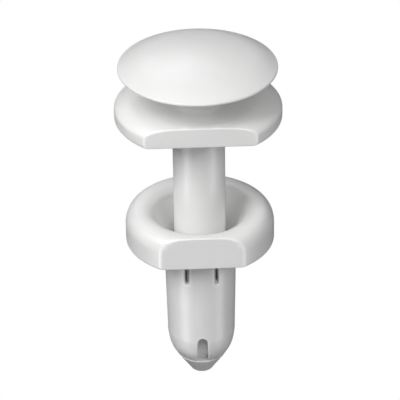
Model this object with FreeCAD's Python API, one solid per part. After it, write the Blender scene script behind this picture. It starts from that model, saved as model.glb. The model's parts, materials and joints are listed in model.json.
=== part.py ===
import FreeCAD, Part
import math
import os

# A push-in anchor in two nylon mouldings: a drive pin standing half way out of its sleeve.
# The origin is the centre of the collar's underside, where the sleeve seats on the panel.
# +Z runs up to the domed head, the flats on the flange and the collar face -Y, and the two
# fingers of the nose spread towards -X and +X as the pin is driven down.
# All lengths are in millimetres and all angles in degrees.

V = FreeCAD.Vector
UP = V(0, 0, 1)
CENTRE = V(0, 0, 0)

# ---- sleeve: collar with its funnel mouth ----
COLLAR_R = 8.34
COLLAR_H = 3.9
COLLAR_FLAT = 6.92          # distance of the flat from the axis
COLLAR_FOOT_ROUND = 0.25
COLLAR_SHOULDER = (1.25, 1.8)   # outer rounding at the crown, across and along the axis
LIP_R = 6.58                # where the flat crown turns down into the funnel
LIP_ROUND = (1.48, 0.9)
FUNNEL_KNEE_R = 3.4         # radius and level where the funnel's cone steepens into the bore
FUNNEL_KNEE_Z = 0.0
FUNNEL_END = -1.6           # level at which the funnel has run out into the bore

# ---- sleeve: barrel, slots and split nose ----
BARREL_R = 3.98
SPIGOT_H = 0.5              # the barrel's root stands this far up inside the collar
SPIGOT_R = 4.2
BARREL_STRAIGHT = 4.6       # length of the barrel that is a true cylinder
BORE_R = 3.0
SLOT_X = 1.70               # distance of each slot from the middle of the grip strip
SLOT_W = 0.52
SLOT_END = -4.2
HINGE_Z = -11.35            # level at which the two fingers bend
HINGE_R = 3.83
NOSE_END = -14.8
NOSE_OUTLINE = ((3.72, -12.9), (3.34, -14.2), (2.96, NOSE_END))
NOSE_HOLE_R = 1.9
NOSE_LAND = 0.9             # length of the straight lip at the end of the nose
THROAT_TOP = -11.6          # level at which the bore starts to close in
NOTCH_W_TOP = 1.14
NOTCH_W_END = 1.36
SEAM = 0.06                 # gap left at the bending line

# ---- pin ----
DOME_R = 8.8
DOME_TOP_Z = 23.5
CROWN_SPHERE_R = 33.0       # the crown is this sphere out to DOME_TURN_R, then turns down
DOME_TURN_R = 6.0
DOME_DROP = 1.55            # from the crown's top to the top of the rounded rim
DOME_EDGE = 0.22            # half thickness of the rounded rim
DOME_BELLY = 0.7            # how far the lens bulges below its rim
HEAD_NECK_R = 1.9
HEAD_NECK_FILLET = 0.9
FLANGE_R = 9.27
FLANGE_BASE_Z = 15.5
FLANGE_TOP_Z = 17.83
FLANGE_FLAT = 6.95
FLANGE_FOOT_ROUND = 0.35
FLANGE_SHOULDER = (2.1, 1.05)
DISH_DEPTH = 0.55
DISH_R = 6.5
STEM_R = 2.91
DRIVE_TOP = -0.1            # the round stem ends here and the drive wedge starts
DRIVE_FULL_Z = -2.8         # the wedge has its full width down to this level
DRIVE_HALF_W = 2.85         # half of that full width, towards the fingers
DRIVE_FLAT = 1.7            # half thickness of the wedge between its flats
PIN_NECK_R = 1.85
NECK_TOP = -13.9
TIP_R = 2.8
TIP_SHOULDER_Z = -15.13
TIP_END_Z = -17.5
TIP_BLUNT_R = 1.05
TIP_BLUNT_ROUND = 0.35

OVERCUT = 1.0               # how far cutting blocks stand past what they cut


def write(node, shape):
    """Checks that a sub-part is sound, prints its volume and writes it to parts/."""
    solid = shape.removeSplitter()
    if not solid.isValid() or not solid.Solids:
        raise RuntimeError(node + " is not a valid solid")
    solid.exportStep("parts/" + node + ".step")
    print(f"{node:20s} {solid.Volume:9.2f} mm3  {len(solid.Solids)} solid")
    return solid


def point(r, z):
    return V(r, 0, z)


def bend(start, corner, end):
    """A quarter-ellipse edge that leaves start towards corner and arrives at end."""
    curve = Part.BezierCurve()
    curve.setPoles([point(*start), point(*corner), point(*end)])
    curve.setWeight(2, math.sqrt(0.5))
    return curve.toShape()


def outline(*stops):
    """A closed outline in the half plane beside the axis. A stop (r, z) is reached by a
    straight run, and a stop (r, z, corner_r, corner_z) by a bend about that corner."""
    edges = []
    here = stops[0]
    for stop in stops[1:] + (stops[0][:2],):
        end = stop[:2]
        if len(stop) == 4:
            edges.append(bend(here[:2], stop[2:], end))
        elif math.dist(here[:2], end) > 1e-6:
            edges.append(Part.makeLine(point(*here[:2]), point(*end)))
        here = stop
    return Part.Face(Part.Wire(edges))


def turned(*stops):
    """The solid that an outline sweeps in one full turn about the axis."""
    return outline(*stops).revolve(CENTRE, UP, 360)


def block(x0, x1, y0, y1, z0, z1):
    return Part.makeBox(x1 - x0, y1 - y0, z1 - z0, V(x0, y0, z0))


def front_flat(shape, distance, reach=20.0):
    """Cuts the front of a round part away at a flat, a given distance from the axis."""
    return shape.cut(block(-reach, reach, -reach, -distance, -reach, 2 * reach))


def wedge_along_y(x_top, x_end, z_top, z_end, y0, y1):
    """A prism along Y whose half width goes from x_top at z_top to x_end at z_end."""
    corners = [V(-x_top, y0, z_top), V(x_top, y0, z_top), V(x_end, y0, z_end), V(-x_end, y0, z_end)]
    face = Part.Face(Part.makePolygon(corners + corners[:1]))
    return face.extrude(V(0, y1 - y0, 0))


# ---------------------------------------------------------------- sleeve

def funnel_r(z):
    """Radius of the funnel at level z, on its cone between the lip and the bore."""
    top_r, top_z = LIP_R - LIP_ROUND[0], COLLAR_H - LIP_ROUND[1]
    share = (z - FUNNEL_KNEE_Z) / (top_z - FUNNEL_KNEE_Z)
    return FUNNEL_KNEE_R + share * (top_r - FUNNEL_KNEE_R)


def collar():
    """Thick rolled rim. Its mouth turns over a rounded lip and falls as a steep funnel."""
    across, along = COLLAR_SHOULDER
    lip_in, lip_down = LIP_ROUND
    lip_foot = (LIP_R - lip_in, COLLAR_H - lip_down)
    rim = turned(
        (funnel_r(SPIGOT_H), SPIGOT_H),
        (SPIGOT_R, SPIGOT_H),
        (SPIGOT_R, 0),
        (COLLAR_R - COLLAR_FOOT_ROUND, 0),
        (COLLAR_R, COLLAR_FOOT_ROUND, COLLAR_R, 0),
        (COLLAR_R, COLLAR_H - along),
        (COLLAR_R - across, COLLAR_H, COLLAR_R, COLLAR_H),
        (LIP_R, COLLAR_H),
        lip_foot + (lip_foot[0], COLLAR_H),
    )
    return front_flat(rim, COLLAR_FLAT)


def barrel_tube():
    """The wall under the collar, from the panel seat down to the bending line."""
    return turned(
        (BORE_R, HINGE_Z),
        (HINGE_R, HINGE_Z),
        (BARREL_R, -BARREL_STRAIGHT),
        (BARREL_R, 0),
        (SPIGOT_R, 0),
        (SPIGOT_R, SPIGOT_H),
        (funnel_r(SPIGOT_H), SPIGOT_H),
        (FUNNEL_KNEE_R, FUNNEL_KNEE_Z),
        (BORE_R, FUNNEL_END),
    )


def slot_cutters():
    """Four round-ended slots, a pair through the front wall and a pair through the back."""
    cutters = []
    half = SLOT_W / 2
    for side in (-1, 1):
        x = side * SLOT_X
        straight = block(x - half, x + half, -BARREL_R - OVERCUT, BARREL_R + OVERCUT, SLOT_END + half, 0)
        foot = Part.makeCylinder(half, 2 * (BARREL_R + OVERCUT), V(x, -BARREL_R - OVERCUT, SLOT_END + half), V(0, 1, 0))
        cutters.append(straight.fuse(foot))
    return cutters


def grip_strip(tube, front):
    """The springy strip of wall between a pair of slots, down to where the slots end."""
    y0, y1 = (-BARREL_R - OVERCUT, 0) if front else (0, BARREL_R + OVERCUT)
    edge = SLOT_X - SLOT_W / 2
    return tube.common(block(-edge, edge, y0, y1, SLOT_END, 0))


def barrel(tube):
    """The tube without the slots and without the strips between them."""
    body = tube
    for cutter in slot_cutters():
        body = body.cut(cutter)
    edge = SLOT_X - SLOT_W / 2
    return body.cut(block(-edge, edge, -BARREL_R - OVERCUT, BARREL_R + OVERCUT, SLOT_END, 0))


def nose():
    """The bullet nose below the bending line, whole, with its throat and its end hole."""
    (r1, z1), (r2, z2), (r3, z3) = NOSE_OUTLINE
    top = HINGE_Z - SEAM
    return turned(
        (NOSE_HOLE_R, NOSE_END),
        (r3, z3),
        (r2, z2),
        (r1, z1),
        (HINGE_R, top),
        (BORE_R, top),
        (BORE_R, THROAT_TOP),
        (NOSE_HOLE_R, NOSE_END + NOSE_LAND),
    )


def notch_cutter():
    """The arched notch, through the front wall and the back wall of the nose."""
    reach = BARREL_R + OVERCUT
    half = NOTCH_W_TOP / 2
    spring_line = HINGE_Z - half
    arch = Part.makeCylinder(half, 2 * reach, V(0, -reach, spring_line), V(0, 1, 0))
    legs = wedge_along_y(half, NOTCH_W_END / 2, spring_line, NOSE_END - OVERCUT, -reach, reach)
    return arch.fuse(legs)


def finger(whole_nose, side):
    """One half of the nose: side is -1 for the left finger and 1 for the right one."""
    reach = BARREL_R + OVERCUT
    half = whole_nose.cut(notch_cutter())
    x0, x1 = (-reach, 0) if side < 0 else (0, reach)
    return half.common(block(x0, x1, -reach, reach, NOSE_END - OVERCUT, HINGE_Z))


# ---------------------------------------------------------------- pin

def head_dome():
    """A shallow lens with a thin rounded rim. Its crown is a flat sphere that turns down
    towards the rim along a parabola, and its underside is bellied."""
    def on_sphere(r):
        return V(r, 0, DOME_TOP_Z - CROWN_SPHERE_R + math.sqrt(CROWN_SPHERE_R ** 2 - r ** 2))

    rim_r = DOME_R - DOME_EDGE
    rim_top_z = DOME_TOP_Z - DOME_DROP
    rim_top = V(rim_r, 0, rim_top_z)
    turn = on_sphere(DOME_TURN_R)
    corner_r = (DOME_TURN_R + rim_r) / 2
    slope = DOME_TURN_R / math.sqrt(CROWN_SPHERE_R ** 2 - DOME_TURN_R ** 2)
    parabola = Part.BezierCurve()
    parabola.setPoles([turn, V(corner_r, 0, turn.z - slope * (corner_r - DOME_TURN_R)), rim_top])
    rim_low_z = rim_top_z - 2 * DOME_EDGE
    rim_low = V(rim_r, 0, rim_low_z)
    rim_out = V(DOME_R, 0, rim_top_z - DOME_EDGE)
    belly_z = rim_low_z - DOME_BELLY
    belly = V(HEAD_NECK_R + HEAD_NECK_FILLET, 0, belly_z)
    apex = on_sphere(0)
    edges = [
        Part.Arc(apex, on_sphere(DOME_TURN_R / 2), turn).toShape(),
        parabola.toShape(),
        Part.Arc(rim_top, rim_out, rim_low).toShape(),
        Part.makeLine(rim_low, belly),
        Part.makeLine(belly, V(0, 0, belly_z)),
        Part.makeLine(V(0, 0, belly_z), apex),
    ]
    dome = Part.Face(Part.Wire(edges)).revolve(CENTRE, UP, 360)
    return dome, belly_z


def head_neck(top_z):
    """The short waist between the dome and the flange, filleted into both."""
    foot_z = FLANGE_TOP_Z - DISH_DEPTH
    wide = HEAD_NECK_R + HEAD_NECK_FILLET
    return turned(
        (0, foot_z),
        (wide, foot_z),
        (HEAD_NECK_R, foot_z + HEAD_NECK_FILLET, HEAD_NECK_R, foot_z),
        (HEAD_NECK_R, top_z - HEAD_NECK_FILLET),
        (wide, top_z, HEAD_NECK_R, top_z),
        (0, top_z),
    )


def pin_flange():
    """A thick disc with a rounded crown, a shallow dish inside it and one flat in front."""
    across, along = FLANGE_SHOULDER
    dish_z = FLANGE_TOP_Z - DISH_DEPTH
    disc = turned(
        (STEM_R, FLANGE_BASE_Z),
        (FLANGE_R - FLANGE_FOOT_ROUND, FLANGE_BASE_Z),
        (FLANGE_R, FLANGE_BASE_Z + FLANGE_FOOT_ROUND, FLANGE_R, FLANGE_BASE_Z),
        (FLANGE_R, FLANGE_TOP_Z - along),
        (FLANGE_R - across, FLANGE_TOP_Z, FLANGE_R, FLANGE_TOP_Z),
        (DISH_R, FLANGE_TOP_Z),
        (STEM_R, dish_z),
    )
    return front_flat(disc, FLANGE_FLAT)


def stem():
    """The round shank that slides in the bore. It runs up through the flange to its dish."""
    top_z = FLANGE_TOP_Z - DISH_DEPTH
    return Part.makeCylinder(STEM_R, top_z - DRIVE_TOP, V(0, 0, DRIVE_TOP))


def obround(half_length, radius, z):
    """A closed wire at level z: two half circles moved apart along X and joined by straights."""
    shift = max(half_length - radius, 1e-3)
    right = Part.Arc(V(shift, -radius, z), V(shift + radius, 0, z), V(shift, radius, z)).toShape()
    left = Part.Arc(V(-shift, radius, z), V(-shift - radius, 0, z), V(-shift, -radius, z)).toShape()
    back = Part.makeLine(V(shift, radius, z), V(-shift, radius, z))
    front = Part.makeLine(V(-shift, -radius, z), V(shift, -radius, z))
    return Part.Wire([right, back, left, front])


def drive_wedge():
    """The hidden shank that spreads the fingers: it widens upwards along X only, so that the
    lips of the nose, which part along X, ride on its round ends. Flats front and back."""
    foot = obround(PIN_NECK_R, PIN_NECK_R, NECK_TOP)
    full = obround(DRIVE_HALF_W, PIN_NECK_R, DRIVE_FULL_Z)
    taper = Part.makeLoft([foot, full], True, True)
    shank = Part.Face(full).extrude(V(0, 0, DRIVE_TOP - DRIVE_FULL_Z))
    slab = block(-BORE_R, BORE_R, -DRIVE_FLAT, DRIVE_FLAT, NECK_TOP, DRIVE_TOP)
    return taper.fuse(shank).common(slab)


def pin_neck():
    """The waist that the closed nose grips, flatted like the wedge above it."""
    waist = Part.makeCylinder(PIN_NECK_R, NECK_TOP - TIP_SHOULDER_Z, V(0, 0, TIP_SHOULDER_Z))
    return waist.common(block(-BORE_R, BORE_R, -DRIVE_FLAT, DRIVE_FLAT, TIP_SHOULDER_Z, NECK_TOP))


def pin_tip():
    """The arrow tip: a square shoulder that can't pull back, and a blunt cone below it."""
    return turned(
        (0, TIP_SHOULDER_Z),
        (TIP_R, TIP_SHOULDER_Z),
        (TIP_BLUNT_R + TIP_BLUNT_ROUND, TIP_END_Z + TIP_BLUNT_ROUND),
        (TIP_BLUNT_R, TIP_END_Z, TIP_BLUNT_R + TIP_BLUNT_ROUND / 2, TIP_END_Z),
        (0, TIP_END_Z),
    )


def main():
    os.makedirs("parts", exist_ok=True)
    tube = barrel_tube()
    whole_nose = nose()
    dome, dome_foot_z = head_dome()
    write("collar", collar())
    write("barrel", barrel(tube))
    write("front_grip_strip", grip_strip(tube, True))
    write("rear_grip_strip", grip_strip(tube, False))
    write("left_finger", finger(whole_nose, -1))
    write("right_finger", finger(whole_nose, 1))
    write("head_dome", dome)
    write("head_neck", head_neck(dome_foot_z))
    write("pin_flange", pin_flange())
    write("pin_stem", stem())
    write("drive_wedge", drive_wedge())
    write("pin_neck", pin_neck())
    write("pin_tip", pin_tip())


main()
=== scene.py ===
# %% [markdown]
# # A push-in anchor: drive pin and expanding sleeve
# The real object is two small mouldings in natural nylon. A domed, flanged pin stands half
# way out of a collared sleeve, and when it is pushed home it spreads the two fingers of the
# sleeve's nose. Nothing is screwed or glued, so the whole look is the shape of the two
# mouldings and the way light moves over satin nylon.
#
# Each cell first says what a piece or finish is and why it is made the way it is, then makes
# it. Lengths are worked in millimetres and turned to metres when a mesh is written.

# %% Load the frame
import json

import bpy
import numpy as np
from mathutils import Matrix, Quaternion, Vector


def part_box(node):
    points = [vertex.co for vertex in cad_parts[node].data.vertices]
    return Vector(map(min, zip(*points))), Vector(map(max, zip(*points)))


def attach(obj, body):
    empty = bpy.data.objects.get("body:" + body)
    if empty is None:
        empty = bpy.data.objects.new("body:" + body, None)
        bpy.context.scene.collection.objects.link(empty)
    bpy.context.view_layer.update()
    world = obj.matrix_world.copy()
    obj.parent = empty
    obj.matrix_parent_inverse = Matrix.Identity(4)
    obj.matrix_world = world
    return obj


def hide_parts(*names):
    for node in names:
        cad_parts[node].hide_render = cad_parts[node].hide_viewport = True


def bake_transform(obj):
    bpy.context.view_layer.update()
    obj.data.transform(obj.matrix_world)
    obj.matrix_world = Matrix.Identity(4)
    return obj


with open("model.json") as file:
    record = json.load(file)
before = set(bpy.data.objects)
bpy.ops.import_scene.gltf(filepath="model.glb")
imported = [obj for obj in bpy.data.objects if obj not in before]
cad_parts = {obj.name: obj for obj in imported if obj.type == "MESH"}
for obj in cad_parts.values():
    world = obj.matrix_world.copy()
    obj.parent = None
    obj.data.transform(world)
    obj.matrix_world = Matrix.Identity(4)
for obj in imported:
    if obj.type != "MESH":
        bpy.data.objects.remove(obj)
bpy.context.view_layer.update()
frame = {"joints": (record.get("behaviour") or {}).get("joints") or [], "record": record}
MM = 0.001

# %% [markdown]
# ## Measures taken from the frame
# Radii, levels and the two flats are read from the boxes of the CAD nodes, so the looks can't
# drift away from the parts that move and fit. Only what a box can't tell, such as how a rim
# is rounded, is given here as a named value.

# %% Sizes of both mouldings
def reach(node):
    """Lowest and highest corner of a CAD node at rest, in millimetres: box / MM."""
    low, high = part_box(node)
    return np.array(low) / MM, np.array(high) / MM


mounts = {mount["name"]: mount for mount in frame["record"]["mounts"]}
joints = {joint["name"]: joint for joint in frame["joints"]}

collar_low, collar_high = reach("collar")
strip_low, strip_high = reach("front_grip_strip")
flange_low, flange_high = reach("pin_flange")
tip_low, tip_high = reach("pin_tip")
dome_high, stem_high, wedge_high, neck_high = (
    reach(node)[1] for node in ("head_dome", "pin_stem", "drive_wedge", "pin_neck")
)

COLLAR_R, COLLAR_TOP, COLLAR_FLAT = collar_high[0], collar_high[2], -collar_low[1]
BARREL_R = mounts["barrel_shank"]["dims"]["r_mm"]
BARREL_STRAIGHT = mounts["barrel_shank"]["dims"]["length_mm"]
SLOT_END, STRIP_HALF = strip_low[2], strip_high[0]
HINGE_R, HINGE_Z = (joints["right_finger_spread"]["pos_m"][k] / MM for k in (0, 2))
NOSE_END = reach("right_finger")[0][2]
FLANGE_R, FLANGE_FLAT = flange_high[0], -flange_low[1]
FLANGE_BASE, FLANGE_TOP = flange_low[2], flange_high[2]
DOME_R, DOME_TOP = dome_high[0], dome_high[2]
STEM_R = stem_high[0]
WEDGE_TOP, WEDGE_HALF_W, WEDGE_FLAT = wedge_high[2], wedge_high[0], wedge_high[1]
NECK_R, NECK_TOP = neck_high[0], neck_high[2]
TIP_R, TIP_SHOULDER, TIP_END = tip_high[0], tip_high[2], tip_low[2]
print(f"radii: collar {COLLAR_R:.2f}, barrel {BARREL_R:.2f}, flange {FLANGE_R:.2f}")
print(f"radii: dome {DOME_R:.2f}, stem {STEM_R:.2f}; the fingers bend at {HINGE_Z:.2f}")

# %% [markdown]
# ## Lines, roundings and stations
# A turned moulding is a *meridian line* (radius, height) carried round the axis. Here every
# angle has a meridian of its own, so that a flat, a wedge or a slot can change the line as it
# goes round. Blender's Screw or Bevel could do the plain rings, but not a flat that cuts
# through a rolled rim with an even, fine edge all along it.
#
# Three helpers do the work on whole arrays of lines: one draws a quarter ellipse, one moves
# points to even stations, and one softens every corner with a moving average, the way a
# polished mould leaves a small radius everywhere.

# %% Helpers for meridian lines
def quarter(start, corner, end, steps=24):
    """Quarter ellipse: centre = start + end - corner, and the point at angle t is
    centre + (start - centre) cos t + (end - centre) sin t, for t from 0 to 90 degrees."""
    start, corner, end = (np.array(p, float) for p in (start, corner, end))
    centre = start + end - corner
    t = np.linspace(0, np.pi / 2, steps)[:, None]
    return centre + (start - centre) * np.cos(t) + (end - centre) * np.sin(t)


def straight(start, end, steps=24):
    """Points spread evenly from start to end, both included."""
    share = np.linspace(0, 1, steps)[:, None]
    return np.array(start, float) * (1 - share) + np.array(end, float) * share


def for_all(line, count):
    """The same line for every one of count angles, with a third column of zeros, which says
    later how near each point is to an edge that gets a painted highlight and a smoother skin."""
    line = np.concatenate([np.asarray(line, float), np.zeros((len(line), 1))], axis=1)
    return np.repeat(line[None], count, axis=0)


def restation(lines, count, bend_cost=0.0):
    """Moves the points of each line to count even stations. Distance along a line is its
    length plus bend_cost millimetres for each radian that it turns, so corners get more."""
    step = np.diff(lines[..., :2], axis=1)
    length = np.maximum(np.linalg.norm(step, axis=2), 1e-9)
    heading = np.unwrap(np.arctan2(step[..., 1], step[..., 0]), axis=1)
    turn = np.abs(np.diff(heading, axis=1, prepend=heading[:, :1]))
    cost = np.cumsum(length + bend_cost * turn, axis=1)
    cost = np.concatenate([np.zeros((len(lines), 1)), cost], axis=1)
    cost /= cost[:, -1:]
    share = np.linspace(0, 1, count)
    columns = range(lines.shape[2])
    moved = [[np.interp(share, c, line[:, k]) for k in columns] for c, line in zip(cost, lines)]
    return np.transpose(np.array(moved), (0, 2, 1))


def soften(lines, width, count=700):
    """Rounds every corner: each line is put on even stations, and each point becomes the mean
    of its neighbours within half the width on either side. Beyond an end the line goes on
    turned half round about that end, so the end stays where it is."""
    dense = restation(lines, count)
    length = np.linalg.norm(np.diff(dense[..., :2], axis=1), axis=2).sum(1).mean()
    half = max(1, int(width / 2 * (count - 1) / length))
    before = 2 * dense[:, :1] - dense[:, half:0:-1]
    after = 2 * dense[:, -1:] - dense[:, -2:-half - 2:-1]
    total = np.cumsum(np.concatenate([before, dense, after], axis=1), axis=1)
    total = np.concatenate([np.zeros_like(total[:, :1]), total], axis=1)
    window = 2 * half + 1
    return (total[:, window:] - total[:, :-window]) / window


def smooth_min(a, b, blend):
    """The smaller of a and b with the crossing rounded: b (1 - s) + a s - blend s (1 - s),
    where s = 0.5 + 0.5 (b - a) / blend, kept between 0 and 1."""
    share = np.clip(0.5 + 0.5 * (b - a) / blend, 0, 1)
    return b * (1 - share) + a * share - blend * share * (1 - share)


demo = soften(for_all([(0, 1), (1, 1), (1, 0)], 1), 0.2)[0, :, :2]
print("softened over 0.2 mm, a square corner is", np.hypot(*(1 - demo).T).min().round(3), "mm away")


# %% [markdown]
# ## From lines to a mesh
# Angles are counted from the front (-Y) towards the right (+X). Lines run down the outside,
# so with angles going anticlockwise from above, every face made by the same rule points out.
# Index arrays join neighbouring points into quads, which is quicker and steadier than adding
# faces one by one, and the whole mesh is handed to Blender in a few calls.

# %% Helpers for meshes
def place(radius, height, angle):
    """Point at a radius, height and angle: x = r sin a, y = -r cos a, z = height."""
    x = radius * np.sin(angle)
    y = -radius * np.cos(angle)
    return np.stack(np.broadcast_arrays(x, y, height), axis=-1)


def strip_faces(grid, close_round=True, close_line=False):
    """Quads between neighbouring lines (rows of grid) and stations (columns of grid)."""
    if close_round:
        grid = np.concatenate([grid, grid[:1]], axis=0)
    if close_line:
        grid = np.concatenate([grid, grid[:, :1]], axis=1)
    return np.stack([grid[:-1, :-1], grid[:-1, 1:], grid[1:, 1:], grid[1:, :-1]], axis=-1)


def fan_faces(pole, ring):
    """Triangles from one point to every pair of neighbours on a ring."""
    return np.stack([np.full(len(ring), pole), ring, np.roll(ring, -1)], axis=1)


def make_piece(name, points, quads, triangles=None, edge=None, sharp_over=35.0):
    """Writes a mesh from points in millimetres and from index arrays of quads and triangles.
    The vertex attribute edge, from 0 to 1, says how near a point is to an edge that the
    nylon makes smoother and paints paler as a highlight."""
    quads = np.asarray(quads).reshape(-1, 4)
    triangles = np.zeros((0, 3), int) if triangles is None else np.asarray(triangles).reshape(-1, 3)
    mesh = bpy.data.meshes.new(name)
    mesh.vertices.add(len(points))
    mesh.vertices.foreach_set("co", (np.asarray(points) * MM).astype(np.float32).ravel())
    corners = np.concatenate([quads.ravel(), triangles.ravel()])
    mesh.loops.add(len(corners))
    mesh.loops.foreach_set("vertex_index", corners.astype(np.int32))
    sizes = np.concatenate([np.full(len(quads), 4), np.full(len(triangles), 3)])
    starts = np.concatenate([[0], np.cumsum(sizes)[:-1]])
    mesh.polygons.add(len(sizes))
    mesh.polygons.foreach_set("loop_start", starts.astype(np.int32))
    mesh.polygons.foreach_set("use_smooth", np.ones(len(sizes), bool))
    if edge is not None:
        marks = mesh.attributes.new("edge", "FLOAT", "POINT")
        marks.data.foreach_set("value", edge.astype(np.float32).ravel())
    mesh.update(calc_edges=True)
    mesh.validate()
    mesh.set_sharp_from_angle(angle=np.radians(sharp_over))
    piece = bpy.data.objects.new(name, mesh)
    bpy.context.scene.collection.objects.link(piece)
    print(f"{name}: {len(points)} points, {len(quads) * 2 + len(triangles)} triangles")
    return piece


print("front, right and back at radius 1:", place(1.0, 0.0, np.radians([0, 90, 180])).round(3).tolist())

# %% [markdown]
# ## Angles
# Most of a ring needs a line only every few degrees. The two upright edges of a flat need
# several lines within a couple of degrees, so that their fine rounding is really there.

# %% Choosing the angles
CLEAR_OF_EDGE = 2.2


def angles_with_flat(flat_edge, spacing=2.5):
    """Even angles all round, plus a close group at each end of a front flat, in radians.
    Even angles nearer than CLEAR_OF_EDGE degrees to the end of the flat are left out."""
    group = np.array([-2.0, -1.3, -0.85, -0.5, -0.2, 0.1, 0.4, 0.75, 1.2, 1.9])
    edge = np.degrees(flat_edge)
    even = np.arange(-180, 180, spacing)
    even = even[np.abs(np.abs(even) - edge) > CLEAR_OF_EDGE]
    return np.radians(np.sort(np.concatenate([even, edge + group, -edge - group])))


pin_angles = angles_with_flat(np.arccos(FLANGE_FLAT / FLANGE_R))
print("lines round the pin", len(pin_angles))

# %% [markdown]
# ## The drive pin
# On the real object this is one moulding: a shallow dome with a thin rim, a waist hidden
# under it, a thick flange whose rolled rim is cut by one flat, a round stem, and inside the
# sleeve a wedge that narrows to a neck above the arrow tip. It could be modelled as separate
# rings, but nylon flows into one skin with small fillets, so it is one closed surface made
# of three stretches of line: head, flange and shank. Each stretch is softened by itself, so
# its stations stay level all the way round.
#
# The head comes first. Its crown is nearly flat in the middle and turns down near the rim,
# so a plain sphere would look either too flat or too fat; a sphere that runs into a parabola
# has both. Underneath, it bellies down to the waist.

# %% Head of the pin
HEAD_NECK_R = 1.9
HEAD_FILLET = 0.9
CROWN_SPHERE = 33.0
DOME_TURN = 6.0
DOME_DROP = 1.55
DOME_EDGE = 0.22
DOME_BELLY = 0.7
DISH_DEPTH = 0.55
dish_level = FLANGE_TOP - DISH_DEPTH


def crown_line():
    """A shallow sphere out to DOME_TURN, then a parabola that leaves it smoothly and turns
    down to the rim: (1-t)^2 start + 2t(1-t) corner + t^2 end, for t from 0 to 1."""
    rim_r = DOME_R - DOME_EDGE
    inner = np.linspace(0, DOME_TURN, 40)
    sphere = DOME_TOP - CROWN_SPHERE + np.sqrt(CROWN_SPHERE ** 2 - inner ** 2)
    slope = DOME_TURN / np.sqrt(CROWN_SPHERE ** 2 - DOME_TURN ** 2)
    middle = 0.5 * (DOME_TURN + rim_r)
    start, end = np.array([DOME_TURN, sphere[-1]]), np.array([rim_r, DOME_TOP - DOME_DROP])
    corner = np.array([middle, sphere[-1] - slope * (middle - DOME_TURN)])
    t = np.linspace(0, 1, 30)[1:, None]
    turn = (1 - t) ** 2 * start + 2 * t * (1 - t) * corner + t ** 2 * end
    return np.concatenate([np.stack([inner, sphere], axis=1), turn])


def head_line():
    """Crown, thin round rim, bellied underside, then the waist with a fillet at each end."""
    crown = crown_line()
    rim_r, rim_z = crown[-1, 0], crown[-1, 1] - DOME_EDGE
    over = quarter((rim_r, rim_z + DOME_EDGE), (DOME_R, rim_z + DOME_EDGE), (DOME_R, rim_z), 10)
    under = quarter((DOME_R, rim_z), (DOME_R, rim_z - DOME_EDGE), (rim_r, rim_z - DOME_EDGE), 10)
    belly_z = rim_z - DOME_EDGE - DOME_BELLY
    wide = HEAD_NECK_R + HEAD_FILLET
    belly = straight((rim_r, rim_z - DOME_EDGE), (wide, belly_z), 40)
    upper = quarter((wide, belly_z), (HEAD_NECK_R, belly_z), (HEAD_NECK_R, belly_z - HEAD_FILLET), 12)
    foot_top = (HEAD_NECK_R, dish_level + HEAD_FILLET)
    foot = quarter(foot_top, (HEAD_NECK_R, dish_level), (wide, dish_level), 12)
    return np.concatenate([crown, over[1:], under[1:], belly[1:], upper[1:], foot])


print("points on the head's line", len(head_line()))

# %% [markdown]
# The flange is the thick disc that lands on the sleeve. Its top is dished, its shoulder is
# rolled wide and low like a cushion, and one flat is cut across the front. The flat isn't
# cut with a Boolean: it limits the radius, which leaves a fine rounded edge whose course
# follows from the shoulder. That edge is marked in the third column, for a painted highlight
# and a smoother skin in the nylon.

# %% Flange of the pin
FLANGE_SHOULDER = (2.1, 1.05)
FLANGE_FOOT = 0.35
DISH_R = 6.5
STEM_FILLET = 0.35
FLAT_EDGE = 0.10
EDGE_MARK = 0.13
FRONT_ONLY = 0.2


def flatten(lines, angles, flat):
    """Limits the radius of each line to flat / cos(angle), a plane in front of the axis, with
    a rounded minimum. The third column becomes 1 where the round and the flat meet, falling
    to 0 within EDGE_MARK."""
    facing = np.cos(angles)
    limit = np.where(facing > FRONT_ONLY, flat / np.maximum(facing, FRONT_ONLY), 1e3)[:, None]
    lines = lines.copy()
    # This mark later gets a painted highlight and a smoother skin in the nylon.
    lines[..., 2] = np.clip(1.25 - np.abs(lines[..., 0] - limit) / EDGE_MARK, 0, 1)
    lines[..., 0] = smooth_min(lines[..., 0], limit, FLAT_EDGE)
    return lines


def flange_lines(angles):
    """Dish, crown, rolled shoulder (a quarter ellipse), wall, foot and underside, then the
    flat in front."""
    across, along = FLANGE_SHOULDER
    wall_top, wall_foot = FLANGE_TOP - along, FLANGE_BASE + FLANGE_FOOT
    foot_r, root_r = FLANGE_R - FLANGE_FOOT, STEM_R + STEM_FILLET
    line = np.concatenate([
        straight((HEAD_NECK_R + HEAD_FILLET, dish_level), (DISH_R, FLANGE_TOP)),
        quarter((FLANGE_R - across, FLANGE_TOP), (FLANGE_R, FLANGE_TOP), (FLANGE_R, wall_top), 40),
        quarter((FLANGE_R, wall_foot), (FLANGE_R, FLANGE_BASE), (foot_r, FLANGE_BASE)),
        straight((foot_r - 0.05, FLANGE_BASE), (root_r, FLANGE_BASE), 40),
        quarter((root_r, FLANGE_BASE), (STEM_R, FLANGE_BASE), (STEM_R, FLANGE_BASE - STEM_FILLET), 12)[1:],
    ])
    return flatten(for_all(line, len(angles)), angles, FLANGE_FLAT)


marked = (flange_lines(pin_angles)[..., 2] > 0.5).any(axis=1)
print("lines of the flange that cross its flat's edge", int(marked.sum()))

# %% [markdown]
# Below the flange the stem is a plain round bar. Inside the sleeve it becomes the drive
# wedge, whose two long ends push the fingers apart, and this narrows to a neck behind the
# square shoulder of the tip. The section of the wedge is written as a radius for every
# angle, so stem, wedge and tip are still one grid of lines.

# %% Shank of the pin
WEDGE_FULL = -2.8
TIP_BLUNT_R = 1.05
TIP_ROUND = 0.35
WEDGE_EDGE = 0.08


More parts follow.
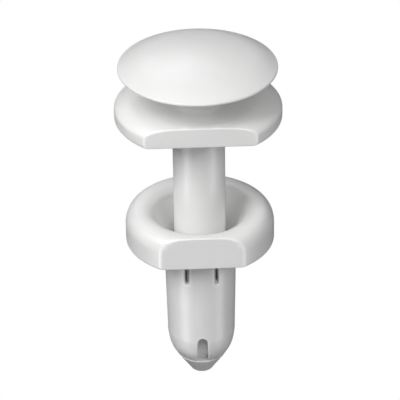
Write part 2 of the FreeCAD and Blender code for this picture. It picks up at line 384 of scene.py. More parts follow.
def wedge_radius(angles, level):
    """Edge of the wedge's section: two half circles of the neck's radius R, parted along X by
    a shift S that grows evenly with height, so S |sin a| + sqrt(R^2 - (S cos a)^2), and cut
    by flats in front and behind, flat / |cos a|."""
    share = np.clip((level - NECK_TOP) / (WEDGE_FULL - NECK_TOP), 0, 1)
    shift = share * (WEDGE_HALF_W - NECK_R)
    side, facing = np.abs(np.sin(angles)), np.abs(np.cos(angles))
    round_end = shift * side + np.sqrt(NECK_R ** 2 - (shift * facing) ** 2)
    return smooth_min(round_end, WEDGE_FLAT / np.maximum(facing, 0.05), WEDGE_EDGE)


def shank_lines(angles):
    """Stem, step on to the wedge, neck, the square shoulder of the arrow tip and its cone."""
    count = len(angles)
    stem = for_all(straight((STEM_R, FLANGE_BASE - STEM_FILLET), (STEM_R, WEDGE_TOP), 30), count)
    level = np.concatenate([np.linspace(WEDGE_TOP, NECK_TOP, 50), [TIP_SHOULDER]])
    radius = wedge_radius(angles[:, None], level[None])
    wedge = np.stack([radius, np.broadcast_to(level, radius.shape), np.zeros_like(radius)], axis=2)
    blunt = (TIP_BLUNT_R + TIP_ROUND, TIP_END + TIP_ROUND)
    tip = np.concatenate([
        straight((TIP_R, TIP_SHOULDER), blunt, 20),
        quarter(blunt, (TIP_BLUNT_R + TIP_ROUND / 2, TIP_END), (TIP_BLUNT_R, TIP_END), 12)[1:],
        straight((TIP_BLUNT_R, TIP_END), (0, TIP_END), 10)[1:],
    ])
    return np.concatenate([stem, wedge, for_all(tip, count)], axis=1)


print("wedge half width half way down", wedge_radius(np.array([np.pi / 2]), -8.0).round(2))

# %% [markdown]
# The three stretches join where they share a point. The lines meet in one point on top of
# the dome and one under the tip, so both poles are closed with a fan of triangles.

# %% Join the stretches and close both poles
def pin_lines(angles):
    """The softened lines of the whole pin, one stretch after the other."""
    stretches = [
        restation(soften(lines, width), stations, 0.6)
        for lines, width, stations in (
            (for_all(head_line(), len(angles)), 0.12, 120),
            (flange_lines(angles), 0.26, 130),
            (shank_lines(angles), 0.14, 150),
        )
    ]
    return np.concatenate([stretches[0], stretches[1][:, 1:], stretches[2][:, 1:]], axis=1)


def make_pin():
    """Carries the lines round the axis and closes the dome and the tip with one point each."""
    lines = pin_lines(pin_angles)
    inner = lines[:, 1:-1]
    points = place(inner[..., 0], inner[..., 1], pin_angles[:, None]).reshape(-1, 3)
    grid = np.arange(len(points)).reshape(inner.shape[:2])
    top, bottom = len(points), len(points) + 1
    points = np.concatenate([points, [[0, 0, lines[0, 0, 1]], [0, 0, lines[0, -1, 1]]]])
    fans = np.concatenate([fan_faces(top, grid[:, 0]), fan_faces(bottom, grid[::-1, -1])])
    edge = np.concatenate([inner[..., 2].ravel(), [0, 0]])
    return make_piece("drive_pin", points, strip_faces(grid), fans, edge)


pin = make_pin()

# %% [markdown]
# ## The sleeve
# The sleeve is the second moulding. Its collar is a thick rolled ring with a funnel mouth and
# one flat; its barrel has a pair of short slots under the collar, front and back. A Boolean
# would cut the slots, but leaves ragged corners that can't be rounded evenly. Here the slots
# are part of the grid: lines run along their sides, the cells inside them are left out on
# the outer and the inner skin, and short walls join the two skins round each opening. The
# rim of each slot is rolled in by a formula of the distance to its outline.

# %% Outline of the slots
SLOT_HALF = 0.26
SLOT_X = STRIP_HALF + SLOT_HALF
SLOT_DRAFT = 0.3
SLOT_CENTRE_Z = SLOT_END + SLOT_HALF
SLOT_FLOOR = 0.1
RIM = 0.10
# How strongly the rolled rims of slots and notches get the painted highlight and the smoother skin.
RIM_HIGHLIGHT_AND_POLISH = 0.8
RIM_MARK_REACH = 1.6 * RIM
BORE_R = 3.0


def slot_distance(x, z):
    """Distance outside the round-ended slot: to its centre line, less half its width."""
    below = np.minimum(z - SLOT_CENTRE_Z, 0)
    return np.hypot(np.abs(x) - SLOT_X, below) - SLOT_HALF


def rim_drop(distance, rim=RIM):
    """How far a surface is rolled in near an opening: a quarter circle of radius rim."""
    share = np.clip(1 - distance / rim, 0, 1)
    return rim * (1 - np.sqrt(1 - share ** 2))


def rim_mark(distance):
    """How strongly a rolled rim is marked for a painted highlight and a smoother skin:
    RIM_HIGHLIGHT_AND_POLISH on its outline, falling evenly to 0 at RIM_MARK_REACH.
    """
    return np.clip(1 - distance / RIM_MARK_REACH, 0, 1) * RIM_HIGHLIGHT_AND_POLISH


def slot_half_width(z, narrowing=1.0):
    """Half width of the slot at a level: full above its round end, sqrt(half^2 - rise^2) in
    it, and never under SLOT_FLOOR, so that the slot ends in a short straight. On the inner
    skin it is narrowing times as wide. That is far more draft than a mould's blade needs: it
    is there for the looks, so that light reaches the walls of so narrow a slot."""
    rise = np.clip(SLOT_CENTRE_Z - z, 0, SLOT_HALF)
    return narrowing * np.maximum(np.sqrt(SLOT_HALF ** 2 - rise ** 2), SLOT_FLOOR)


print("slots", 2 * SLOT_HALF, "mm wide, middles at x = +/-", round(float(SLOT_X), 2))

# %% [markdown]
# Front, back, left and right of the sleeve are mirror images, so angles are only worked out
# for the quarter from the front to the right. On the barrel the lines follow the sides of
# the slot; on the collar the same number of lines crowd at the end of the flat.

# %% Lines round a quarter of the sleeve
RIM_LINES = RIM * np.array([1.0, 0.6, 0.25, 0.0])
STRIP_LINES = 6
SIDE_LINES = 22
WINDOW_FIRST = STRIP_LINES + len(RIM_LINES) - 2
WINDOW_CELLS = 2


def quarter_angles(radius, z, narrowing=1.0):
    """Angles of the lines from the front to the right side, at a radius and level of the
    barrel. Across the strip and the slot they keep to fixed distances x from the middle,
    and angle = arcsin(x / radius); from there to the side they are spread evenly."""
    half = slot_half_width(z, narrowing)
    inner, outer = SLOT_X - half, SLOT_X + half
    strip = np.linspace(0, 1, STRIP_LINES)[:-1] * (inner - RIM)[..., None]
    x = np.concatenate([
        strip,
        inner[..., None] - RIM_LINES,
        (0.5 * (inner + outer))[..., None],
        outer[..., None] + RIM_LINES[::-1],
    ], axis=-1)
    near = np.arcsin(x / np.asarray(radius)[..., None])
    share = np.linspace(0, 1, SIDE_LINES + 1)[1:]
    side = near[..., -1:] * (1 - share) + np.pi / 2 * share
    return np.concatenate([near, side], axis=-1)


def collar_quarter(count):
    """Angles for the collar: a close group of lines at the end of the flat, even elsewhere.
    The group takes the places that the slot's outer rim has on the barrel."""
    edge = np.arccos(COLLAR_FLAT / COLLAR_R)
    group = edge + np.radians([-1.7, -1.0, -0.6, -0.25, 0.1, 0.45, 0.9, 1.7])
    first = WINDOW_FIRST + WINDOW_CELLS - 2
    before = np.linspace(0, group[0], first + 1)[:-1]
    after = np.linspace(group[-1], np.pi / 2, count - first - len(group) + 1)[1:]
    return np.concatenate([before, group, after])


def all_round(first_quarter):
    """Mirrors the first quarter's angles to the whole turn, without doubling any line."""
    q = first_quarter
    right = np.concatenate([q, (np.pi - q[..., :-1])[..., ::-1]], axis=-1)
    left = (2 * np.pi - right[..., 1:-1])[..., ::-1]
    return np.concatenate([right, left], axis=-1)


quarter_count = quarter_angles(np.array([BARREL_R]), np.array([0.0])).shape[-1]
print("lines in a quarter", quarter_count)

# %% [markdown]
# The barrel's levels are shared by the outer and the inner skin, so that the walls of the
# slots can join them. Levels crowd where the slot ends and where the root flares out into
# the collar.

# %% Levels of the barrel
ROOT_FILLET = 0.25
CUT_Z = HINGE_Z + 0.25
turn_share = np.linspace(0, np.pi / 2, 6)
below_slot = SLOT_END - RIM * np.array([1.0, 0.6, 0.25])
slot_round = SLOT_CENTRE_Z - SLOT_HALF * np.cos(turn_share)
root = -ROOT_FILLET * np.cos(turn_share)
barrel_levels = np.concatenate([
    np.linspace(CUT_Z, SLOT_END - 0.3, 24),
    below_slot,
    slot_round,
    np.linspace(SLOT_CENTRE_Z, -ROOT_FILLET, 14)[1:-1],
    root,
])[::-1]
slot_rows = (0, int(np.argmin(np.abs(barrel_levels - SLOT_END))))
print("levels", len(barrel_levels), "slot rows", slot_rows)


def barrel_radius(z):
    """Outer radius: a true cylinder under the collar, then a slight draft down to the bending
    line, and a small fillet where the root meets the collar."""
    draft = np.clip((-BARREL_STRAIGHT - z) / (-BARREL_STRAIGHT - HINGE_Z), 0, 1)
    flare = rim_drop(-z, ROOT_FILLET)
    return BARREL_R - (BARREL_R - HINGE_R) * draft + flare


FUNNEL_KNEE = (3.4, 0.0)
FUNNEL_END = -1.6


def bore_radius(z):
    """Inner radius: the bore, opening above FUNNEL_END into the foot of the funnel by the
    power 1.5 of the way up."""
    share = np.clip((z - FUNNEL_END) / (FUNNEL_KNEE[1] - FUNNEL_END), 0, 1)
    return BORE_R + (FUNNEL_KNEE[0] - BORE_R) * share ** 1.5


print("wall under the collar", round(float(barrel_radius(-2.0) - bore_radius(-2.0)), 2), "mm")

# %% [markdown]
# The collar is a fat ring that takes the push: a high rolled shoulder outside, a rounded lip
# inside, and a steep funnel that leads the pin into the bore. It is drawn as two families
# of lines that meet on the narrow flat crown, since only the outer one is cut by the flat.

# %% Collar and funnel
COLLAR_SHOULDER = (1.25, 1.8)
COLLAR_FOOT = 0.25
LIP_R = 6.58
LIP_ROUND = (1.48, 0.9)
CROWN_JOIN = LIP_R + 0.12


def collar_lines(angles):
    """From the crown outwards: rolled shoulder, wall, foot and underside, limited by the flat
    in front, and ending where the barrel's root begins."""
    across, along = COLLAR_SHOULDER
    wall_top, foot_r = COLLAR_TOP - along, COLLAR_R - COLLAR_FOOT
    line = np.concatenate([
        straight((CROWN_JOIN, COLLAR_TOP), (COLLAR_R - across, COLLAR_TOP), 6),
        quarter((COLLAR_R - across, COLLAR_TOP), (COLLAR_R, COLLAR_TOP), (COLLAR_R, wall_top), 40)[1:],
        quarter((COLLAR_R, COLLAR_FOOT), (COLLAR_R, 0), (foot_r, 0)),
        straight((foot_r - 0.05, 0), (BARREL_R + ROOT_FILLET, 0), 40),
    ])
    lines = flatten(for_all(line, len(angles)), angles, COLLAR_FLAT)
    return restation(soften(lines, 0.26), 78, 0.6)


def funnel_lines(count):
    """From the foot of the funnel up its steep cone and over the rounded lip to the crown."""
    lip_in, lip_down = LIP_ROUND
    lip_foot = (LIP_R - lip_in, COLLAR_TOP - lip_down)
    line = np.concatenate([
        straight(FUNNEL_KNEE, lip_foot, 30),
        quarter(lip_foot, (lip_foot[0], COLLAR_TOP), (LIP_R, COLLAR_TOP), 30)[1:],
        straight((LIP_R, COLLAR_TOP), (CROWN_JOIN, COLLAR_TOP), 6)[1:],
    ])
    return restation(soften(for_all(line, count), 0.6), 36, 0.6)


print("collar", collar_lines(pin_angles).shape, "funnel", funnel_lines(1).shape, "lines and stations")

# %% [markdown]
# A slot is a block of grid cells that is left out on both skins, and a ring of short walls
# between them: two sides, a lower end and an upper end hidden in the collar. Which cells,
# and which way round each wall's corners go, follows from the numbers of the lines.

# %% Openings of the slots
def slot_openings(grid, out0, in0, first, last):
    """Marks the grid cells inside the slots and returns the walls that join the two skins.
    Row k of the barrel is station out0 + k outside and in0 - k inside; first and last are
    the rows of the slot's upper and lower end."""
    count = len(grid)
    left_out = np.zeros(grid.shape, bool)
    start, width, mid = WINDOW_FIRST, WINDOW_CELLS, count // 2
    starts = [start, mid - start - width, mid + start, count - start - width]
    walls = []
    for a in starts:
        b = a + width
        left_out[a:b, out0 + first:out0 + last] = True
        left_out[a:b, in0 - last:in0 - first] = True
        rows = np.arange(first, last)
        for line, facing in ((a, 1), (b, -1)):
            outer0, outer1 = grid[line, out0 + rows], grid[line, out0 + rows + 1]
            inner0, inner1 = grid[line, in0 - rows], grid[line, in0 - rows - 1]
            side = np.stack([outer0, outer1, inner1, inner0], axis=1)
            walls.append(side[:, ::facing])
        span = np.arange(a, b)
        for row, facing in ((last, 1), (first, -1)):
            end = np.stack([
                grid[span, out0 + row], grid[span + 1, out0 + row],
                grid[span + 1, in0 - row], grid[span, in0 - row],
            ], axis=1)
            walls.append(end[:, ::facing])
    return left_out, np.concatenate(walls)


print("cells left out for each slot", WINDOW_CELLS * (slot_rows[1] - slot_rows[0]))

# %% [markdown]
# The skins are now put together as one closed loop of stations: collar, outer barrel, cut
# face, inner bore, funnel. On the collar the lines follow the flat's angles, on the barrel
# the slots', and across the underside and the funnel they pass smoothly from one to the
# other.

# %% Build the sleeve
UNDER_FROM = 1.2
UNDER_OVER = 2.4


def mix_angles(a, b, share):
    """Angles that pass from a to b, where share (0 to 1) says how far, station by station."""
    return a[None, :] * (1 - share[:, None]) + b * share[:, None]


def make_sleeve():
    """One closed loop of stations on every line, with the cells of the four slots left out.
    Under the collar the lines turn from its angles to the barrel's between UNDER_FROM and
    UNDER_FROM + UNDER_OVER millimetres in from its rim."""
    collar_angles = all_round(collar_quarter(quarter_count))
    lines_count = len(collar_angles)
    collar = collar_lines(collar_angles)
    funnel = funnel_lines(lines_count)
    outer_r, inner_r = barrel_radius(barrel_levels), bore_radius(barrel_levels)
    outer_angles = all_round(quarter_angles(outer_r, barrel_levels))
    inner_angles = all_round(quarter_angles(inner_r, barrel_levels, SLOT_DRAFT))

    under = np.clip((COLLAR_R - UNDER_FROM - collar[:, :, 0].mean(0)) / UNDER_OVER, 0, 1)
    under[:collar.shape[1] // 2] = 0
    collar_turn = mix_angles(collar_angles, outer_angles[0], under)
    rising = np.linspace(0, 1, funnel.shape[1])
    funnel_turn = mix_angles(inner_angles[0], collar_angles, rising)

    distance = slot_distance(outer_r[:, None] * np.sin(outer_angles), barrel_levels[:, None])
    drop = np.where(barrel_levels[:, None] > -ROOT_FILLET, 0, rim_drop(distance))
    barrel_out = place(outer_r[:, None] - drop, barrel_levels[:, None], outer_angles)
    barrel_in = place(inner_r[:, None], barrel_levels[:, None], inner_angles)

    collar_points = place(collar[..., 0].T, collar[..., 1].T, collar_turn)[:-1]
    funnel_points = place(funnel[..., 0].T, funnel[..., 1].T, funnel_turn)[1:-1]
    loop = np.concatenate([collar_points, barrel_out, barrel_in[::-1], funnel_points])
    points = loop.transpose(1, 0, 2).reshape(-1, 3)
    grid = np.arange(len(points)).reshape(lines_count, len(loop))

    inside = np.zeros((len(barrel_in) + len(funnel_points), lines_count))
    # Marks for the painted highlight and the smoother skin: the flat's edge on the collar and the rims of
    # the slots.
    highlight_and_polish = np.concatenate([collar[:, :-1, 2].T, rim_mark(distance), inside]).T

    out0 = len(collar_points)
    in0 = out0 + 2 * len(barrel_levels) - 1
    left_out, walls = slot_openings(grid, out0, in0, *slot_rows)
    quads = strip_faces(grid, close_line=True).reshape(-1, 4)[~left_out.ravel()]
    return make_piece("sleeve_shell", points, np.concatenate([quads, walls]), edge=highlight_and_polish)


sleeve = make_sleeve()

# %% [markdown]
# ## The two fingers of the nose
# Arched notches, front and back, split the bullet nose into a left and a right finger. On
# the real part the nylon bends just above the arches, so each finger is a skin of its own
# that starts at the barrel, where it follows the sleeve, and turns gradually into the moving
# finger. A finger is a block: lines go from the front notch round to the back one, and each
# line runs down the outside, across the end face and up the inside.

# %% Outline of the notch
NOTCH_HALF_TOP = 0.57
NOTCH_HALF_END = 0.68
ARCH_Z = HINGE_Z - NOTCH_HALF_TOP
HOLE_R = 1.9
NOSE_LAND = 0.9
END_R = 2.96
NOSE_CURVE = (
    (HINGE_R, ARCH_Z), (3.79, -12.4), (3.73, -12.8), (3.66, -13.2), (3.57, -13.6),
    (3.43, -14.0), (3.28, -14.3), (END_R, NOSE_END),
)


def notch_half_width(z):
    """Half width of the notch: nothing above the arch, a half circle, then a slight flare."""
    rise = np.clip(z - ARCH_Z, 0, NOTCH_HALF_TOP)
    arch = np.sqrt(NOTCH_HALF_TOP ** 2 - rise ** 2)
    flare = (NOTCH_HALF_END - NOTCH_HALF_TOP) * np.clip((ARCH_Z - z) / (ARCH_Z - NOSE_END), 0, 1)
    return arch + flare


def notch_distance(x, z):
    """Distance outside the notch, measured to its arch above and to its sides below."""
    beside = np.abs(x) - notch_half_width(np.minimum(z, ARCH_Z))
    over = np.hypot(x, z - ARCH_Z) - NOTCH_HALF_TOP
    return np.where(z > ARCH_Z, over, beside)


print("half width of the notch", notch_half_width(np.array([HINGE_Z, ARCH_Z, NOSE_END])).round(2))

# %% [markdown]
# The nose is a bullet: its flank is drawn through a few points and softened over more than
# a millimetre, so that it swells evenly. The hole in its end is closed in round the pin's
# neck. Both skins of a finger have the same number of stations, so rows of quads can join
# them along the notch.

# %% Stations and angles of a finger
def nose_rows():
    """Outer and inner (radius, height) stations of a finger, as many inside as outside."""
    arch = HINGE_Z - NOTCH_HALF_TOP * (1 - np.cos(np.linspace(0, np.pi / 2, 9)))
    above = HINGE_Z + RIM * np.array([1.0, 0.6, 0.25])
    straight_z = np.concatenate([[CUT_Z], above, arch])
    bullet = for_all(np.array(NOSE_CURVE), 1)
    face_edge = (HOLE_R + 0.45 * (END_R - HOLE_R), NOSE_END)
    flank = np.concatenate([soften(bullet, 1.3, 200)[0, :, :2], [face_edge]])
    curve = restation(soften(for_all(flank, 1), 0.16), 44, 0.5)[0, :, :2]
    top = np.stack([barrel_radius(straight_z), straight_z], axis=1)
    outer = np.concatenate([top[:-1], curve])
    inside = np.concatenate([
        straight((BORE_R, ARCH_Z), (BORE_R, ARCH_Z - 0.01), 2),
        straight((BORE_R - 0.15, ARCH_Z - 0.3), (HOLE_R, NOSE_END + NOSE_LAND), 12),
        straight((HOLE_R, NOSE_END + NOSE_LAND), (HOLE_R, NOSE_END), 8)[1:],
        straight((HOLE_R, NOSE_END), (HOLE_R + 0.4 * (END_R - HOLE_R), NOSE_END), 4)[1:],
    ])
    hollow = restation(soften(for_all(inside, 1), 0.18), 44, 0.5)[0, :, :2]
    bore = np.stack([bore_radius(straight_z), straight_z], axis=1)
    return outer, np.concatenate([bore[:-1], hollow])


def finger_angles(rows):
    """From the front notch to the back one: a group of lines over the rolled rim of the
    notch, then even lines to the side, mirrored for the back."""
    edge = notch_half_width(rows[:, 1])
    x = edge[:, None] + RIM_LINES[::-1]
    near = np.arcsin(np.clip(x / rows[:, :1], 0, 1))
    share = np.linspace(0, 1, 34)[1:]
    side = near[:, -1:] * (1 - share) + np.pi / 2 * share
    front = np.concatenate([near, side], axis=1)
    return np.concatenate([front, (np.pi - front[:, :-1])[:, ::-1]], axis=1)


print("stations outside and inside", [len(rows) for rows in nose_rows()])

# %% [markdown]
# A finger is a closed block: outer skin, end face and lining go round every line, and the
# first and the last line are capped by the walls of the notches. The left finger could be
# a mirrored object, but a negative scale turns a mesh inside out, so its points are
# mirrored instead and the corners of its faces are taken the other way round.

# %% Skins of a finger
def make_finger(name, mirror):
    """A closed block of lines. The left finger is the right one mirrored, faces turned."""
    outer, inner = nose_rows()
    outer_turn, inner_turn = finger_angles(outer), finger_angles(inner)
    distance = notch_distance(outer[:, :1] * np.sin(outer_turn), outer[:, 1:])
    skin = place(outer[:, :1] - rim_drop(distance), outer[:, 1:], outer_turn)
    lining = place(inner[:, :1], inner[:, 1:], inner_turn)
    loop = np.concatenate([skin, lining[::-1]])
    points = loop.transpose(1, 0, 2).reshape(-1, 3)
    grid = np.arange(len(points)).reshape(loop.shape[1], len(loop))
    rows, far = np.arange(len(outer) - 1), len(loop) - 1
    front, back = grid[0], grid[-1]
    caps = [
        np.stack([front[rows], front[far - rows], front[far - rows - 1], front[rows + 1]], axis=1),
        np.stack([back[rows], back[rows + 1], back[far - rows - 1], back[far - rows]], axis=1),
    ]
    quads = strip_faces(grid, close_round=False, close_line=True).reshape(-1, 4)
    quads = np.concatenate([quads] + caps)
    if mirror:
        points = points * np.array([-1, 1, 1])
        quads = quads[:, ::-1]
    # Marks for the painted highlight and the smoother skin along the rims of the notches.
    highlight_and_polish = np.concatenate([rim_mark(distance), np.zeros(lining.shape[:2])]).T
    return make_piece(name, points, quads, edge=highlight_and_polish)


right_finger = make_finger("right_nose_finger", False)
left_finger = make_finger("left_nose_finger", True)

# %% [markdown]
# ## What moves with what
# The pin rides on its own body and slides down through the sleeve, and the sleeve rides on
# a body of its own. On the real part the fingers bend: above the arches they stay with the
# sleeve, and over the next stretch they turn smoothly into the moving finger, as a living
# hinge does. A finger that rode stiffly on its body would tear a gap open where it leaves
# the barrel. Here each finger is only left at rest, tied to no body, and the CAD nodes that
# every piece stands for are hidden.

# %% Tie pin and sleeve to their bodies, leave the fingers at rest
BEND_LENGTH = 1.3
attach(pin, "pin")
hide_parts("head_dome", "head_neck", "pin_flange", "pin_stem", "drive_wedge", "pin_neck", "pin_tip")
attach(sleeve, "sleeve")
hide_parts("collar", "barrel", "front_grip_strip", "rear_grip_strip")
for piece, body in ((left_finger, "left_finger"), (right_finger, "right_finger")):
    top = (0, 0, HINGE_Z * MM)
    end = (0, 0, (HINGE_Z - BEND_LENGTH) * MM)
    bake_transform(piece)
    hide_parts(body)
print("bending stretch", BEND_LENGTH, "mm")

# %% [markdown]
# ## Natural nylon
# Moulded natural nylon is a milky off-white with a satin skin. Light goes a little way in,
# so thin walls glow and shadows in narrow slots stay soft. The steel of the mould leaves a
# fine grain, the two mould halves leave a hair-fine seam on the sides, and the edges of the
# flats are smoother than the rest, with a painted highlight that makes them paler.
#
# Shader maths could be wired node by node; a small class lets it be written as sums.

# %% Shader maths helper
class Wire:
    """Wraps a socket, so that sums on wires add Math nodes."""

    def __init__(self, recipe, socket):
        self.recipe = recipe
        self.socket = socket

    def math(self, operation, *others):
        node = self.recipe.add("Math", {"operation": operation}, *(self, *others))
        return self.recipe.out(node, 0)

    def __add__(self, other):
        return self.math("ADD", other)

    def __mul__(self, other):
        return self.math("MULTIPLY", other)

    def __sub__(self, other):
        return self.math("SUBTRACT", other)

    def __truediv__(self, other):
        return self.math("DIVIDE", other)

    def __rsub__(self, other):
        return self.recipe.out(self.recipe.add("Math", {"operation": "SUBTRACT"}, other, self), 0)

    __radd__, __rmul__ = __add__, __mul__

    def clamped(self):
        """This value, kept between 0 and 1."""
        return self.math("MAXIMUM", 0.0).math("MINIMUM", 1.0)


class Recipe:
    """A material's node tree, with one method that adds any node."""

    def __init__(self, name):
        self.material = bpy.data.materials.new(name)
        self.material.use_nodes = True
        self.tree = self.material.node_tree
        self.tree.nodes.clear()

    def add(self, kind, settings=None, *values, **named):
        """Adds a node: its settings first, then values or wires for its sockets, by place or
        by name, where an underscore stands for a space."""
        node = self.tree.nodes.new("ShaderNode" + kind)
        for key, value in (settings or {}).items():
            setattr(node, key, value)
        sockets = list(enumerate(values)) + [(key.replace("_", " "), v) for key, v in named.items()]
        for key, value in sockets:
            if isinstance(value, Wire):
                self.tree.links.new(value.socket, node.inputs[key])
            else:
                node.inputs[key].default_value = value
        return node

    def out(self, node, name):
        return Wire(self, node.outputs[name])

    def blend(self, share, colour_a, colour_b):
        """A colour between two: a Mix node, whose colour sockets are numbers 6 and 7."""
        node = self.add("Mix", {"data_type": "RGBA"})
        for key, value in ((0, share), (6, colour_a), (7, colour_b)):
            if isinstance(value, Wire):
                self.tree.links.new(value.socket, node.inputs[key])
            else:
                node.inputs[key].default_value = value
        return self.out(node, 2)

    def noise(self, where, scale, detail, w):
        """Noise in metres: one lump is about 1 / scale across."""
        settings = {"noise_dimensions": "4D"}
        return self.out(self.add("TexNoise", settings, Vector=where, W=w, Scale=scale, Detail=detail), 0)

    def finish(self, surface):
        """Leads a shader to the material's output."""
        self.add("OutputMaterial", None, surface)


trial = Recipe("trial")
check = 1 - trial.out(trial.add("Value"), 0) * 0.5
print("1 - value * 0.5 ends in", check.socket.node.operation, "after", len(trial.tree.nodes), "nodes")
bpy.data.materials.remove(trial.material)

# %% [markdown]
# Both mouldings get the same kind of nylon, the pin a trace paler than the sleeve. The pin's
# dome and stem are thick enough for light to travel inside, so it scatters a little below
# the skin; the thin sleeve, which is three pieces here, doesn't, so that no dark line shows
# where one piece ends and the next begins. The seam belongs on upright walls only, so it
# fades out as the surface leans over.

# %% The nylon
CLOUDS, GRAIN, WAVES = 220.0, 9000.0, 500.0
GRAIN_HEIGHT = 0.025
SEAM_HALF = 0.05
SEAM_FADE = 2.5
# How far marked edges are painted towards white, as a painted highlight.
EDGE_PAINTED_HIGHLIGHT = 0.85


def nylon(name, pale, deep, seed, depth):
    """Satin nylon. Tone: slow clouds between a pale and a deep white. Height: mould grain, a
    slight waviness, and a ridge 1 - |y| / SEAM_HALF along the seam. Marked edges get a painted
    highlight that makes them paler, and a smoother skin. Noise scales are lumps per metre."""
    r = Recipe(name)
    place_on = r.out(r.add("TexCoord"), "Object")
    clouds = r.noise(place_on, CLOUDS, 3.0, seed)
    grain = r.noise(place_on, GRAIN, 2.0, seed + 1)
    waves = r.noise(place_on, WAVES, 1.0, seed + 2)
    edge = r.out(r.add("Attribute", {"attribute_type": "GEOMETRY", "attribute_name": "edge"}), "Fac")
    off_seam = r.out(r.add("SeparateXYZ", None, place_on), "Y").math("ABSOLUTE") / (SEAM_HALF * MM)
    facing = r.out(r.add("NewGeometry"), "Normal")
    lean = r.out(r.add("SeparateXYZ", None, facing), "Z").math("ABSOLUTE")
    seam = (1 - off_seam).clamped() * (1 - lean * SEAM_FADE).clamped()
    # Painted highlight: near marked edges the base colour goes towards white. The clouds are the nylon's
    # own uneven tone.
    tone = r.blend(edge * EDGE_PAINTED_HIGHLIGHT, r.blend(clouds, pale, deep), (1, 1, 1, 1))
    height = grain + waves * 1.5 + seam * 0.8
    bump = r.add("Bump", None, Strength=0.65, Distance=GRAIN_HEIGHT * MM, Height=height)
    shader = r.add(
        "BsdfPrincipled",
        Base_Color=tone,
        Roughness=0.32 + 0.10 * clouds + 0.05 * grain - 0.16 * edge,
        Normal=r.out(bump, "Normal"),
        IOR=1.53,
        Subsurface_Weight=depth,
        Subsurface_Scale=0.9 * MM,
        Subsurface_Radius=(1.0, 1.0, 1.0),
    )
    r.finish(r.out(shader, "BSDF"))
    return r.material


pin_nylon = nylon("pin_nylon", (0.88, 0.88, 0.875, 1), (0.82, 0.82, 0.815, 1), 1.0, 0.3)
sleeve_nylon = nylon("sleeve_nylon", (0.87, 0.87, 0.865, 1), (0.81, 0.81, 0.805, 1), 5.0, 0.0)
pin.data.materials.append(pin_nylon)
for piece in (sleeve, left_finger, right_finger):
    piece.data.materials.append(sleeve_nylon)
print("nodes in the nylon", len(pin_nylon.node_tree.nodes))

# %% [markdown]
# ## Studio
# A pale paper floor lies far below the anchor and sweeps up into walls and a ceiling, a
# closed light tent, so every view has the same plain ground and no shadow falls behind the
# anchor. The paper is only looked at: the anchor is lit by soft boxes. It could be a plane
# and a white background, but then a view from below would look at the floor's back.

# %% Floor and paper tent
def make_floor():
    """Floor, upswept corner, wall, corner and ceiling as one line carried round the axis."""
    low, high, wide, corner = -600.0, 700.0, 1200.0, 300.0
    line = np.concatenate([
        straight((60, low), (wide - corner, low), 6),
        quarter((wide - corner, low), (wide, low), (wide, low + corner), 12)[1:],
        quarter((wide, high - corner), (wide, high), (wide - corner, high), 12),
        straight((wide - corner, high), (60, high), 6)[1:],
    ])
    angles = np.radians(np.arange(0, 360, 10))
    points = place(line[None, :, 0], line[None, :, 1], angles[:, None]).reshape(-1, 3)
    grid = np.arange(len(points)).reshape(len(angles), len(line))
    points = np.concatenate([points, [[0, 0, low], [0, 0, high]]])
    bottom, top = len(points) - 2, len(points) - 1
    fans = np.concatenate([fan_faces(bottom, grid[:, 0]), fan_faces(top, grid[::-1, -1])])
    return make_piece("floor", points, strip_faces(grid), fans)


floor = make_floor()
paper = Recipe("paper")
glow = paper.add("Emission", Color=(1, 1, 1, 1), Strength=1.0)
paper.finish(paper.out(glow, "Emission"))
floor.data.materials.append(paper.material)
floor.visible_diffuse = False
floor.visible_glossy = False
floor.visible_transmission = False
floor.visible_shadow = False

# %% [markdown]
# A white object on white paper is drawn by its shading alone, so the boxes were balanced by
# measured tone, and aren't a plain three-light set. One wide key from the upper
# left gives the slow fall of light over dome and flange; weak boxes in front, on the right
# and below keep the shadows open. Two tall cards, seen only as gloss, run a soft streak down
# either side of stem and barrel, and a small one behind puts a sheen on top of the dome.

# %% Lights
LIGHT_REACH = 500.0
ROOM_LIGHT = 0.15


def soft_box(name, azimuth, elevation, power, width=160.0, height=160.0, matte=True, gloss=True):
    """A rectangular area light aimed at the anchor. Azimuth 0 is in front and 90 on the right.
    matte and gloss say which of the two kinds of reflection it serves, as a flag or card
    between a real lamp and part of the object would."""
    a, e = np.radians([azimuth, elevation])
    back = Vector((np.sin(a) * np.cos(e), -np.cos(a) * np.cos(e), np.sin(e)))
    light = bpy.data.lights.new(name, "AREA")
    light.shape = "RECTANGLE"
    light.size, light.size_y = width * MM, height * MM
    light.energy = power
    lamp = bpy.data.objects.new(name, light)
    lamp.location = back * LIGHT_REACH * MM
    lamp.rotation_mode = "QUATERNION"
    lamp.rotation_quaternion = back.to_track_quat("Z", "Y")
    lamp.visible_camera = False
    lamp.visible_diffuse = matte
    lamp.visible_glossy = gloss
    bpy.context.scene.collection.objects.link(lamp)


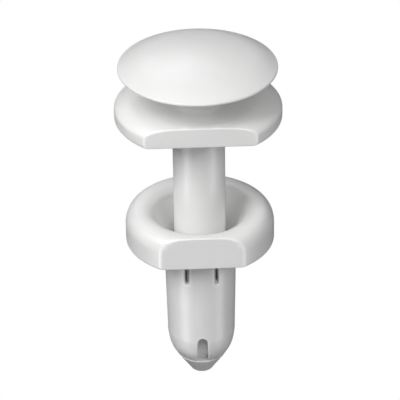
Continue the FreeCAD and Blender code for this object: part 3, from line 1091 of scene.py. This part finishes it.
# Name, azimuth, elevation, power in watts, then width and height in millimetres.
soft_box("key", -54, 42, 1.83, 240, 240)
soft_box("top", -20, 70, 0.18, 200, 200)
soft_box("front", 7, 42, 0.32)
soft_box("right", 32, 30, 0.44)
soft_box("far right", 90, 30, 0.10)
soft_box("far left", -95, 25, 0.08)
soft_box("low right", 60, -30, 0.20)
soft_box("low front", -10, -25, 0.12)
soft_box("back", 180, -8, 0.80, 260, 160, gloss=False)
soft_box("sheen", 187, 42, 0.40, 150, 120, matte=False)
soft_box("left strip", -58, -30, 1.00, 170, 250, matte=False)
soft_box("right strip", 62, -30, 0.45, 110, 250, matte=False)
world = bpy.data.worlds.new("room")
bpy.context.scene.world = world
world.use_nodes = True
world.node_tree.nodes["Background"].inputs["Color"].default_value = (1, 1, 1, 1)
world.node_tree.nodes["Background"].inputs["Strength"].default_value = ROOM_LIGHT
world.cycles_visibility.glossy = False
bpy.context.scene.view_settings.view_transform = "Standard"
print("soft boxes", len(bpy.data.lights), "watts", round(sum(lamp.energy for lamp in bpy.data.lights), 2))

# %% [markdown]
# The camera stands far off with a long lens, so that the rings look like true ellipses, and
# looks down by about thirty degrees, which shows the dome's crown and the flats at once.
# It is aimed at a point on the axis, just above the collar.

# %% Camera
CAMERA_AZIMUTH = -2.0
CAMERA_ELEVATION = 30.73
CAMERA_ROLL = -0.86
CAMERA_DISTANCE = 340.0
CAMERA_LENS = 273.3
CAMERA_AIM = Vector((0.05, 0, 4.82))


def make_camera():
    """A long lens looking down at the anchor, turned a little to its left."""
    a, e = np.radians([CAMERA_AZIMUTH, CAMERA_ELEVATION])
    back = Vector((np.sin(a) * np.cos(e), -np.cos(a) * np.cos(e), np.sin(e)))
    data = bpy.data.cameras.new("camera")
    data.lens = CAMERA_LENS
    data.clip_start, data.clip_end = 0.01, 10
    camera = bpy.data.objects.new("camera", data)
    camera.location = (CAMERA_AIM + back * CAMERA_DISTANCE) * MM
    camera.rotation_mode = "QUATERNION"
    roll = Quaternion((0, 0, 1), np.radians(CAMERA_ROLL))
    camera.rotation_quaternion = (-back).to_track_quat("-Z", "Y") @ roll
    bpy.context.scene.collection.objects.link(camera)
    bpy.context.scene.camera = camera
    return camera


camera = make_camera()
print("camera at", [round(c / MM, 1) for c in camera.location])
